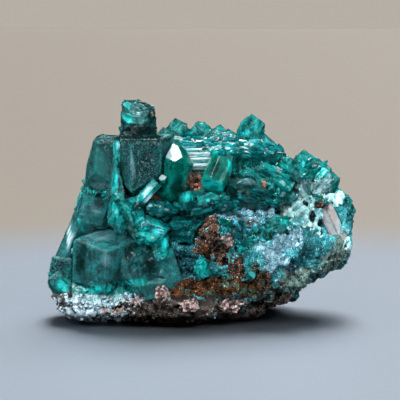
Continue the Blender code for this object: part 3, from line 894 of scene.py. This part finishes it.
ORE_SOFTENING = 4
ORE_GROWTH = 0.22
HOLE_DEPTH = 0.9
FLUTE_DIRECTION = (-0.45, 0.1, -0.88)
FLUTE_STRETCH = 0.92
UNDERCUT = np.array((0.06, 0.30, 0.0))
UNDERCUT_HEIGHT = 1.8


def soften(points, faces, rounds):
    """Evens the flat facets out: each point moves halfway to the middle of its neighbours."""
    corners = np.array([face[:4] for face in faces if len(face) == 4])
    pairs = np.concatenate([corners[:, [k, (k + 1) % 4]] for k in range(4)])
    pairs = np.concatenate([pairs, pairs[:, ::-1]])
    count = np.maximum(np.bincount(pairs[:, 0], minlength=len(points)), 1)[:, None]
    for _ in range(rounds):
        total = np.zeros_like(points)
        np.add.at(total, pairs[:, 0], points[pairs[:, 1]])
        points = points + 0.5 * (total / count - points)
    return points


def knobs(points, size, seed):
    """Height of rounded lumps that crowd each other."""
    offset, values = nearest_cell(points, size, seed)
    return (1 - 1.3 * np.linalg.norm(offset, axis=1)) * (0.4 + 0.6 * values[:, 0])


def flutes(points, size, seed):
    """Height of ridges that run down to the left, as dripped crust does."""
    along = np.array(FLUTE_DIRECTION)
    stretched = points - FLUTE_STRETCH * np.outer(points @ along, along)
    return rough_noise(stretched, size, seed, octaves=3)


def ore_relief(points, scores):
    """Height in millimetres that each mineral adds to the ore's surface."""
    share = {mineral: ramp(score, -0.05, 0.2) for mineral, score in scores.items()}
    height = 0.45 * broken_facets(points, 1.7, 81) + 0.45 * (rough_noise(points, 1.1, 82, 4) - 0.5)
    height += share["green"] * 0.6 * broken_facets(points, 1.2, 83)
    height += share["teal"] * 0.35 * broken_facets(points, 0.9, 84)
    height += share["brown"] * (0.55 * knobs(points, 0.95, 85) - 0.15)
    height += share["granular"] * 0.16 * knobs(points, 0.5, 86)
    smoother = 1 - np.maximum(0.8 * share["pale_and_sheen"], 0.45 * share["white"])
    height *= smoother
    height += share["white"] * 0.7 * (flutes(points, 0.5, 87) - 0.45)
    height -= share["shaded_hole"] * HOLE_DEPTH
    height += share["pale_and_sheen"] * 0.12 * (rough_noise(points, 0.9, 88) - 0.5)
    height += share["crust"] * 0.3 * knobs(points, 0.7, 89)
    height += share["pink"] * 0.25 * knobs(points, 0.55, 90)
    height += share["rock"] * 0.6 * (rough_noise(points, 1.3, 91, 4) - 0.5)
    pits = ramp(rough_noise(points, 1.0, 92, 3), 0.56, 0.70)
    return height - 0.5 * pits * (share["brown"] + share["rust"] + share["rock"] + share["crust"])


def make_ore():
    """The skin of the ore, and the scores of its minerals by point."""
    coarse = flat_faces("ore_matrix")
    tree = BVHTree.FromBMesh(coarse)
    points, polygons = fine_grid(coarse, ORE_GRID)
    coarse.free()
    points = soften(points, polygons, ORE_SOFTENING)
    normals = point_normals(points, polygons)
    scores = mineral_scores(points, tree, Vector(points.mean(axis=0)))
    moved = points + normals * (ORE_GROWTH + ore_relief(points, scores))[:, None]
    moved -= moved * UNDERCUT * ramp(moved[:, 2], UNDERCUT_HEIGHT, 0)[:, None]
    moved[:, 2] = np.maximum(moved[:, 2], 0)
    # How far each point stands out of its softened surroundings, which paints shade into hollows and light
    # onto ridges.
    shading_relief = ((moved - soften(moved, polygons, 12)) * normals).sum(axis=1)
    mesh = stored_mesh("ore_skin", moved, polygons)
    for mineral, score in scores.items():
        store(mesh, mineral, score)
    store(mesh, "shading_relief", shading_relief)
    store(mesh, "tint", np.full(len(moved), 0.5))
    mesh.shade_smooth()
    finish_piece("ore_skin", mesh, ore_material(), "ore_matrix")
    return moved, point_normals(moved, polygons), scores


# Ore: colours from the deepest layer to the topmost, each as dark, light and specks

ORE_LAYERS = {
    "granular": (rgb(0.020, 0.26, 0.30), rgb(0.12, 0.72, 0.80), rgb(0.65, 0.95, 0.98)),
    "teal": (rgb(0.001, 0.035, 0.045), rgb(0.015, 0.28, 0.32), rgb(0.20, 0.80, 0.85)),
    "green": (rgb(0.0005, 0.025, 0.025), rgb(0.008, 0.36, 0.34), rgb(0.20, 0.95, 0.92)),
    "deep": (rgb(0.001, 0.015, 0.022), rgb(0.008, 0.14, 0.18), rgb(0.08, 0.60, 0.68)),
    "azure": (rgb(0.003, 0.12, 0.22), rgb(0.05, 0.55, 0.74), rgb(0.85, 1.0, 1.0)),
    "rock": (rgb(0.010, 0.008, 0.007), rgb(0.085, 0.070, 0.062), rgb(0.38, 0.34, 0.31)),
    "stain": (rgb(0.035, 0.060, 0.050), rgb(0.20, 0.35, 0.31), rgb(0.50, 0.66, 0.60)),
    "pale_and_sheen": (rgb(0.10, 0.30, 0.38), rgb(0.40, 0.66, 0.80), rgb(0.75, 0.90, 0.95)),
    "white": (rgb(0.25, 0.72, 0.76), rgb(0.75, 0.99, 1.0), rgb(0.95, 1.0, 1.0)),
    "brown": (rgb(0.010, 0.006, 0.005), rgb(0.12, 0.066, 0.042), rgb(0.62, 0.42, 0.35)),
    "rust": (rgb(0.010, 0.006, 0.003), rgb(0.11, 0.040, 0.013), rgb(0.45, 0.24, 0.13)),
    "olive": (rgb(0.010, 0.018, 0.012), rgb(0.055, 0.11, 0.075), rgb(0.50, 0.52, 0.38)),
    "salmon": (rgb(0.12, 0.045, 0.030), rgb(0.80, 0.36, 0.26), rgb(0.95, 0.62, 0.48)),
    "crust": (rgb(0.14, 0.20, 0.23), rgb(0.60, 0.80, 0.90), rgb(0.95, 1.0, 1.0)),
    # Painted shade: the near-black colour of the pits.
    "shaded_hole": (rgb(0.006, 0.004, 0.003), rgb(0.035, 0.022, 0.016), rgb(0.10, 0.06, 0.05)),
    "pink": (rgb(0.050, 0.032, 0.030), rgb(0.62, 0.45, 0.42), rgb(0.95, 0.85, 0.82)),
}
BARE_COLOUR = rgb(0.05, 0.04, 0.035)
LACE_COLOUR = rgb(0.70, 0.95, 1.0)
FLUTE_COLOUR = rgb(0.03, 0.38, 0.42)
CRACK_COLOUR = rgb(0.03, 0.16, 0.20)
ORE_GLOSS = 0.3
ORE_GRAIN = 0.45
SPECK_SIZE = 0.17


def mineral_colours(graph, fine, coarse, specks):
    """The minerals one over the other, each where its score is high, with ragged rims."""
    rim = graph.times(graph.math("SUBTRACT", graph.plus(fine, coarse), 1.0), 1.5)
    blotch = graph.ramp(graph.plus(fine, graph.times(coarse, 0.6)), 0.62, 0.98)
    colour = BARE_COLOUR
    for k, (mineral, (dark, light, speck)) in enumerate(ORE_LAYERS.items()):
        own = graph.mix(blotch, dark, light)
        own = graph.mix(graph.ramp(specks, 0.60 + 0.01 * (k % 3), 0.72), own, speck)
        score = graph.plus(graph.attribute(mineral), rim)
        colour = graph.mix(graph.ramp(score, 0.0, 0.12), colour, own)
    return colour


def flute_streaks(graph):
    """Greener streaks between the flutes of the white crust."""
    along = graph.vector("DOT_PRODUCT", graph.place, FLUTE_DIRECTION, output="Value")
    away = graph.vector("SCALE", FLUTE_DIRECTION, scale=along)
    streaky = graph.vector("SUBTRACT", graph.place, graph.vector("SCALE", away, scale=FLUTE_STRETCH))
    streaks = graph.ramp(graph.noise(0.5, detail=4.0, place=streaky), 0.50, 0.60, 0.0, 0.65)
    return graph.times(streaks, graph.ramp(graph.attribute("white"), 0.0, 0.15))


def with_lace(graph, colour):
    """Lace-like fibres on the azure crust, and cracks of the same pattern in the pale one."""
    lace = graph.math("SUBTRACT", graph.noise(0.6, detail=4.0, distortion=1.0), 0.5)
    lace = graph.ramp(graph.math("ABSOLUTE", lace), 0.045, 0.015)
    for mineral, lace_colour in (("azure", LACE_COLOUR), ("pale_and_sheen", CRACK_COLOUR)):
        strength = graph.times(lace, graph.ramp(graph.attribute(mineral), 0.0, 0.2))
        colour = graph.mix(strength, colour, lace_colour)
    return colour


def ore_material():
    made = bpy.data.materials.get("copper_ore")
    if made:
        return made
    graph = Graph("copper_ore")
    fine = graph.noise(ORE_GRAIN, detail=5.0)
    coarse = graph.noise(1.6, detail=4.0, distortion=0.5)
    specks = graph.noise(SPECK_SIZE, detail=1.0)
    colour = mineral_colours(graph, fine, coarse, specks)
    colour = with_lace(graph, graph.mix(flute_streaks(graph), colour, FLUTE_COLOUR))
    # Painted shade in hollows and painted light on ridges, from the stored relief.
    shading_relief = graph.ramp(graph.attribute("shading_relief"), -0.18, 0.20, 0.18, 1.35)
    large = graph.ramp(graph.noise(3.5, detail=2.0), 0.3, 0.7, 0.7, 1.25)
    tint = graph.ramp(graph.attribute("tint"), 0.0, 1.0, 0.55, 1.45)
    colour = graph.vector("SCALE", colour, scale=graph.times(shading_relief, large, tint))
    chalky = graph.math("MAXIMUM", graph.attribute("pale_and_sheen"), graph.attribute("white"))
    height = graph.bump(graph.times(fine, graph.ramp(chalky, -0.05, 0.15, 1.0, 0.35)), 0.25)
    height = graph.bump(specks, 0.05, below=height)
    facets = graph.times(graph.facets(graph.cells(0.5)), graph.ramp(graph.attribute("green"), -0.1, 0.2))

    shader = graph.shader.inputs
    graph.put(colour, shader["Base Color"])
    graph.put(graph.ramp(coarse, 0.3, 0.7, 0.40, 0.85), shader["Roughness"])
    graph.put(graph.bump(facets, 0.7, below=height), shader["Normal"])
    shader["Specular IOR Level"].default_value = ORE_GLOSS
    return graph.material


# What grows on the ore: small crystals and grains

def turned(axis, spin):
    """Columns of a frame with z along the axis, for arrays of axes and spins."""
    axis = axis / np.linalg.norm(axis, axis=1, keepdims=True)
    helper = np.where(np.abs(axis[:, 2:]) < 0.9, (0.0, 0.0, 1.0), (1.0, 0.0, 0.0))
    side = np.cross(helper, axis)
    side /= np.linalg.norm(side, axis=1, keepdims=True)
    other = np.cross(axis, side)
    cos, sin = np.cos(spin)[:, None], np.sin(spin)[:, None]
    return np.stack([side * cos + other * sin, other * cos - side * sin, axis], axis=2)


def prism_shape():
    """A six-sided prism of radius 1 with the three rhombohedral faces of dioptase on its end."""
    drop = math.tan(RHOMB_LEAN) / 2
    corners = [(math.cos(math.tau * k / 6), math.sin(math.tau * k / 6)) for k in range(6)]
    points = [(x, y, -1.0) for x, y in corners]
    points += [(x, y, 1 - drop * (1 + k % 2)) for k, (x, y) in enumerate(corners)]
    points.append((0, 0, 1.0))
    faces = [tuple(reversed(range(6)))]
    faces += [(k, (k + 1) % 6, 6 + (k + 1) % 6, 6 + k) for k in range(6)]
    faces += [(12, 6 + k, 7 + k, 6 + (k + 2) % 6) for k in (0, 2, 4)]
    return np.array(points), faces


def grain_shape():
    """A ball of twenty triangles."""
    ball = bmesh.new()
    bmesh.ops.create_icosphere(ball, subdivisions=1, radius=1.0)
    points = np.array([vertex.co for vertex in ball.verts])
    faces = [tuple(vertex.index for vertex in face.verts) for face in ball.faces]
    ball.free()
    return points, faces


def picked(chance, seed):
    """The numbers of the points that are picked, each with its own chance."""
    return np.flatnonzero(random_for(np.arange(len(chance)), seed, 1)[0] < chance)


def scattered(shape, places, axes, spins, widths, lengths):
    """(points, faces, copy number of each point) of a shape repeated at many places."""
    base, faces = shape
    scaled = base[None] * np.stack([widths, widths, lengths], axis=1)[:, None, :]
    points = np.einsum("nij,nkj->nki", turned(axes, spins), scaled) + places[:, None, :]
    copies = len(places)
    count = len(base)
    repeated = [tuple(corner + k * count for corner in face) for k in range(copies) for face in faces]
    return points.reshape(-1, 3), repeated, np.repeat(np.arange(copies), count)


# Druses by finish: how many small crystals each point of the ore carries, and their seed.
DRUSES = {
    "turquoise": (0.020, 100),
    "emerald": (0.012, 110),
    "deep": (0.014, 120),
}
DRUSE_WIDTH = (0.22, 0.62)
DRUSE_LENGTH = (0.5, 1.7)
DRUSE_BOTTOM = 5
# Druses thin out towards both ends of the stone: how far from this middle the last ones stand, and
# within what distance they are all there.
DRUSE_MIDDLE = 1.5
DRUSE_REACH = (15, 12.5)
BARE_MINERALS = ("white", "brown", "azure", "salmon", "pale_and_sheen", "rust", "pink", "crust", "stain")


def make_druses(points, normals, scores):
    """Small crystals that cover the green parts of the ore."""
    green = np.maximum(ramp(scores["green"], -0.1, 0.3), 0.5 * ramp(scores["teal"], 0.1, 0.5))
    bare = np.max([scores[mineral] for mineral in BARE_MINERALS], axis=0)
    green = green * (bare < 0) * (points[:, 2] > DRUSE_BOTTOM)
    green = green * ramp(np.abs(points[:, 0] - DRUSE_MIDDLE), *DRUSE_REACH)
    for finish, (density, seed) in DRUSES.items():
        chosen = picked(green * density, seed)
        tilt = np.stack(random_for(chosen, seed + 1, 3), axis=1) - 0.5
        spin, size, length, tint = random_for(chosen, seed + 4, 4)
        width = between(DRUSE_WIDTH, size ** 2)
        tall = between(DRUSE_LENGTH, size ** 2 * (0.4 + 0.6 * length))
        axes = normals[chosen] + 1.5 * tilt
        made, faces, copy = scattered(prism_shape(), points[chosen], axes, spin * math.tau, width, tall)
        crystal_copies(finish + "_druse", finish, made, faces, copy, points[chosen], axes, tint)


def crystal_copies(name, finish, made, faces, copy, places, axes, tint):
    """One mesh of many small crystals, with what the crystals' material reads."""
    mesh = stored_mesh(name, made, faces)
    along = ((made - places[copy]) * axes[copy]).sum(axis=1)
    store(mesh, "grain", np.stack([copy * 3.1, along, copy * 1.7], axis=1))
    store(mesh, "face_tint", tint[copy])
    finish_piece(name, mesh, crystal_material(FINISHES[finish]))


# Sheaves of slender prisms: the middle, half width and half height of the patch in the photograph's
# pixels, the slope of the prisms in degrees there, how many and their finish.
SHEAVES = (
    (232, 145, 26, 9, -4, 46, "bright"),
    (265, 150, 20, 8, -10, 34, "bright"),
    (284, 170, 20, 9, -38, 30, "turquoise"),
    (262, 198, 22, 7, -15, 34, "deep"),
    (222, 208, 26, 8, 15, 30, "deep"),
    (197, 140, 14, 8, -4, 16, "bright"),
    (312, 168, 14, 9, 40, 18, "turquoise"),
    (176, 218, 16, 12, 10, 30, "deep"),
)
SHEAF_WIDTH = (0.14, 0.40)
SHEAF_LENGTH = (0.35, 1.0)
SHEAF_SPREAD = 22


def make_sheaves(stone):
    """Slender prisms side by side, laid on the stone."""
    for number, (across, down, wide, high, slope, count, finish) in enumerate(SHEAVES):
        random = np.stack(random_for(np.arange(count), 200 + 10 * number, 8), axis=1)
        places, axes, kept = [], [], []
        for values in random.tolist():
            out = math.sqrt(values[0])
            turn = math.tau * values[1]
            spot = (across + wide * out * math.cos(turn), down + high * out * math.sin(turn))
            place, normal, _ = behind_pixel(stone, *spot)
            if place:
                angle = math.radians(slope + SHEAF_SPREAD * (values[2] - 0.5))
                axis = RIGHT * math.cos(angle) + UP * math.sin(angle) + 0.4 * FORWARD * (values[3] - 0.5)
                axes.append(axis - normal * (0.9 * axis.dot(normal)))
                places.append(place)
                kept.append(values)
        places, axes, values = np.array(places), np.array(axes), np.array(kept)
        width = between(SHEAF_WIDTH, values[:, 4] ** 1.5)
        length = between(SHEAF_LENGTH, values[:, 5])
        made, faces, copy = scattered(prism_shape(), places, axes, values[:, 6] * math.tau, width, length)
        name = "sheaf_%d" % (number + 1)
        crystal_copies(name, finish, made, faces, copy, places, axes, values[:, 7])


GRAIN_CHANCE = {"white": 0.02, "crust": 0.13, "pink": 0.14, "brown": 0.12, "rust": 0.08,
                "granular": 0.03, "rock": 0.06, "stain": 0.05, "azure": 0.02, "salmon": 0.08}
GRAIN_SIZE = (0.10, 0.34)
GRAIN_LIMIT = 9500
GRAIN_BOTTOM = 0.4


def make_grains(name, points, normals, scores):
    """Grains that lie on the ore's crusts, in the colours of the mineral below."""
    chance = np.zeros(len(points))
    for mineral, share in GRAIN_CHANCE.items():
        chance = np.maximum(chance, share * ramp(scores[mineral], -0.1, 0.1))
    chosen = picked(chance * (points[:, 2] > GRAIN_BOTTOM), 130)[:GRAIN_LIMIT]
    tilt = np.stack(random_for(chosen, 131, 3), axis=1) - 0.5
    spin, size, length, tint = random_for(chosen, 134, 4)
    width = between(GRAIN_SIZE, size ** 2)
    made, faces, copy = scattered(grain_shape(), points[chosen], normals[chosen] + 1.5 * tilt,
                                  spin * math.tau, width, width * (0.7 + 0.7 * length))
    corner = np.arange(len(made))
    made += (np.stack(random_for(corner, 138, 3), axis=1) - 0.5) * width[copy][:, None] * 0.5
    mesh = stored_mesh(name, made, faces)
    for mineral, score in scores.items():
        store(mesh, mineral, score[chosen][copy])
    # Painted light: the grains are shaded as though they stand a little proud.
    store(mesh, "shading_relief", np.full(len(made), 0.15))
    store(mesh, "tint", tint[copy])
    finish_piece(name, mesh, ore_material())


# Camera, floor and lights

def make_camera():
    data = bpy.data.cameras.new("camera")
    data.lens = LENS
    data.sensor_width = SENSOR
    data.clip_start = 0.01
    camera = linked("camera", data)
    camera.location = (TARGET + camera_direction() * DISTANCE) * MM
    camera.rotation_euler = (-camera_direction()).to_track_quat("-Z", "Y").to_euler()
    bpy.context.scene.camera = camera


FLOOR_RADIUS = 3000.0
NEAR_FLOOR = 52.0
FAR_FLOOR = 110.0
NEAR_COLOUR = rgb(0.30, 0.35, 0.42)
FAR_COLOUR = rgb(0.32, 0.28, 0.235)


def floor_material():
    graph = Graph("floor")
    far = graph.ramp(graph.vector("LENGTH", graph.place, output="Value"), NEAR_FLOOR, FAR_FLOOR)
    graph.put(graph.mix(far, NEAR_COLOUR, FAR_COLOUR), graph.shader.inputs["Base Color"])
    graph.shader.inputs["Roughness"].default_value = 0.45
    return graph.material


def make_floor():
    disc = bmesh.new()
    bmesh.ops.create_circle(disc, cap_ends=True, segments=96, radius=FLOOR_RADIUS * MM)
    mesh = bpy.data.meshes.new("floor")
    disc.to_mesh(mesh)
    disc.free()
    mesh.materials.append(floor_material())
    floor = linked("floor", mesh)
    floor.visible_glossy = False
    floor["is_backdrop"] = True
    return floor


def make_sun(name, towards, strength, spread, mirrored=True):
    data = bpy.data.lights.new(name, "SUN")
    data.energy = strength
    data.angle = math.radians(spread)
    lamp = linked(name, data)
    lamp.visible_glossy = mirrored
    lamp.rotation_euler = Vector(towards).to_track_quat("Z", "Y").to_euler()
    return lamp


WALL_COLOUR = rgb(0.47, 0.43, 0.38)
CEILING_COLOUR = rgb(0.52, 0.56, 0.62)


def make_room():
    """A pale room, bluer above, which only the camera and the clear crystals see: it lights
    nothing."""
    world = bpy.data.worlds.new("room")
    bpy.context.scene.world = world
    world.use_nodes = True
    nodes, links = world.node_tree.nodes, world.node_tree.links
    direction = nodes.new("ShaderNodeTexCoord").outputs["Generated"]
    parts = nodes.new("ShaderNodeSeparateXYZ")
    links.new(direction, parts.inputs[0])
    rise = nodes.new("ShaderNodeMapRange")
    links.new(parts.outputs["Z"], rise.inputs[0])
    rise.inputs["From Max"].default_value = 0.8
    shade = nodes.new("ShaderNodeMix")
    shade.data_type = "RGBA"
    links.new(rise.outputs[0], shade.inputs[0])
    shade.inputs[6].default_value = WALL_COLOUR
    shade.inputs[7].default_value = CEILING_COLOUR
    links.new(shade.outputs[2], nodes["Background"].inputs["Color"])
    world.cycles_visibility.glossy = False
    world.cycles_visibility.diffuse = False


# Small bright lamps around the stone, which the crystals' faces mirror one by one.
SPARKLE_LAMPS = ((-0.30, -0.42, 0.86), (0.35, -0.35, 0.87), (-0.80, -0.10, 0.60), (0.10, 0.60, 0.79),
                 (0.70, -0.30, 0.65))
SPARKLE_STRENGTH = 0.16
SPARKLE_SPREAD = 10

# Lamps that light the specimen and not the floor, which keeps the shadow in front of it deep: the
# direction towards each, its strength, its spread in degrees and whether the crystals mirror it.
LAMPS_OFF_FLOOR = (
    ("key", (-0.57, 0.18, 0.80), 1.9, 22, True),
    ("front", (-0.20, -0.85, 0.49), 0.9, 22, True),
    ("fill", (-0.45, -0.70, 0.56), 1.8, 40, False),
    ("side", (0.65, -0.60, 0.45), 1.0, 60, False),
    ("back", (0.15, 0.70, 0.70), 1.9, 60, False),
)


def make_lights(floor):
    make_sun("overhead", (0.05, 0.36, 0.93), 1.5, 22)
    link_to_floor(make_sun("floor_light", (0.15, 0.46, 0.87), 2.9, 44), floor, "INCLUDE")
    for name, towards, strength, spread, mirrored in LAMPS_OFF_FLOOR:
        link_to_floor(make_sun(name, towards, strength, spread, mirrored), floor, "EXCLUDE")
    for number, towards in enumerate(SPARKLE_LAMPS):
        make_sun("sparkle_%d" % (number + 1), towards, SPARKLE_STRENGTH, SPARKLE_SPREAD)
    bpy.context.scene.view_settings.view_transform = "Standard"


def link_to_floor(lamp, floor, state):
    """Lets a lamp light the floor alone, or everything but the floor."""
    linked_pieces = bpy.data.collections.new(lamp.name + "_receivers")
    linked_pieces.objects.link(floor)
    lamp.light_linking.receiver_collection = linked_pieces
    linked_pieces.collection_objects[0].light_linking.link_state = state


# Below this height the crusted crystals carry pale crust, and above it white crust.
CRUST_TOP = 10


def main():
    make_camera()
    make_room()
    make_lights(make_floor())
    stone = whole_stone()
    crusts = [make_crystal(node, stone) for node in CRYSTALS]
    points, normals, scores = make_ore()
    make_druses(points, normals, scores)
    make_sheaves(stone)
    make_grains("ore_grains", points, normals, scores)
    points, normals, strength = (np.concatenate(values) for values in zip(*crusts))
    scores = {mineral: np.full(len(points), -1.0) for mineral in scores}
    scores["crust"] = np.where(points[:, 2] < CRUST_TOP, strength - 0.4, -1)
    scores["white"] = np.where(points[:, 2] > CRUST_TOP, strength - 0.4, -1)
    make_grains("crystal_grains", points, normals, scores)


main()

[[list(corner) for corner in box] for box in (CAD_BOX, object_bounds())]
